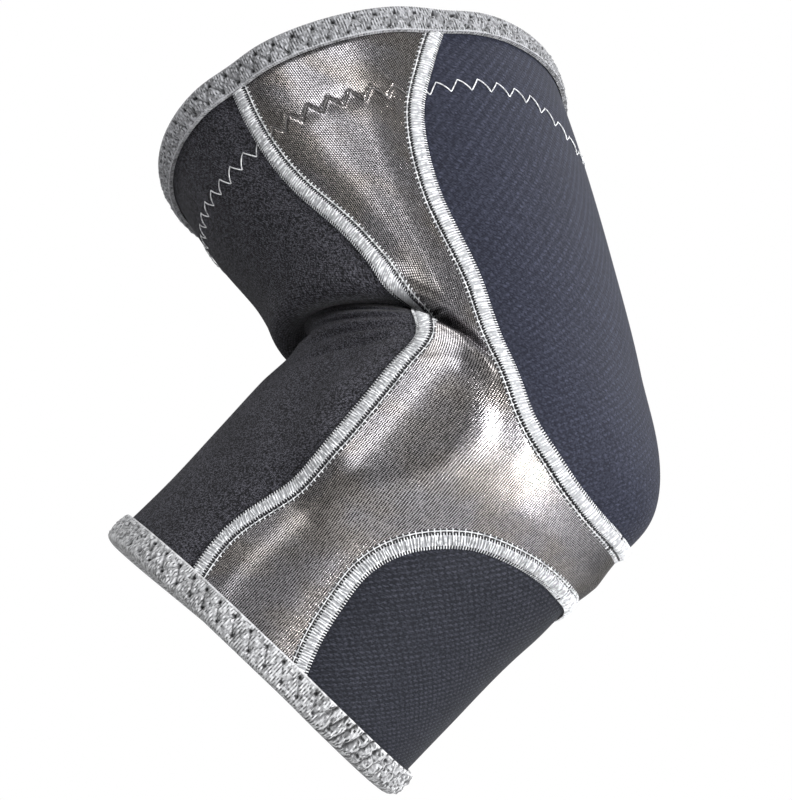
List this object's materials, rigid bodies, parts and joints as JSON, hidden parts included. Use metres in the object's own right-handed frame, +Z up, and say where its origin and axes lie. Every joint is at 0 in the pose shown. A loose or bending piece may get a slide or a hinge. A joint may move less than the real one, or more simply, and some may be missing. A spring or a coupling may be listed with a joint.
{
  "type": "elbow brace",
  "caption": "Pull-on elbow sleeve in the shape it takes on a bent arm, of knitted neoprene panels under flat seams, with a folded elastic binding at each end.",
  "frame": {"origin": "the elbow's centre, where the upper arm's axis meets the forearm's, inside the sleeve", "axes": "the arm bends in the XZ plane, the brace's mirror plane. +Z runs up towards the upper arm, whose axis leans 16.5 degrees from it towards -X, and the forearm's axis leans 46 degrees from -Z towards -X. The elbow point faces +X and the crook -X"},
  "size_m": [0.1339, 0.1028, 0.1847],
  "materials": {
    "charcoal_knit": "matte fine knit over neoprene",
    "satin_knit": "finely ribbed satin knit with a silver sheen",
    "navy_mesh": "knit with rows of small raised dashes",
    "seam_thread": "covering thread of flat seams",
    "heather_binding": "mottled grey elastic binding"
  },
  "bodies": {
    "root": {"front_panel": "charcoal_knit", "elbow_panel": "satin_knit", "rear_panel": "navy_mesh", "forearm_panel": "navy_mesh", "front_seam_right": "seam_thread", "front_seam_left": "seam_thread", "rear_seam": "seam_thread", "forearm_seam": "seam_thread", "upper_hem": "heather_binding", "forearm_hem": "heather_binding"}
  },
  "joints": []
}
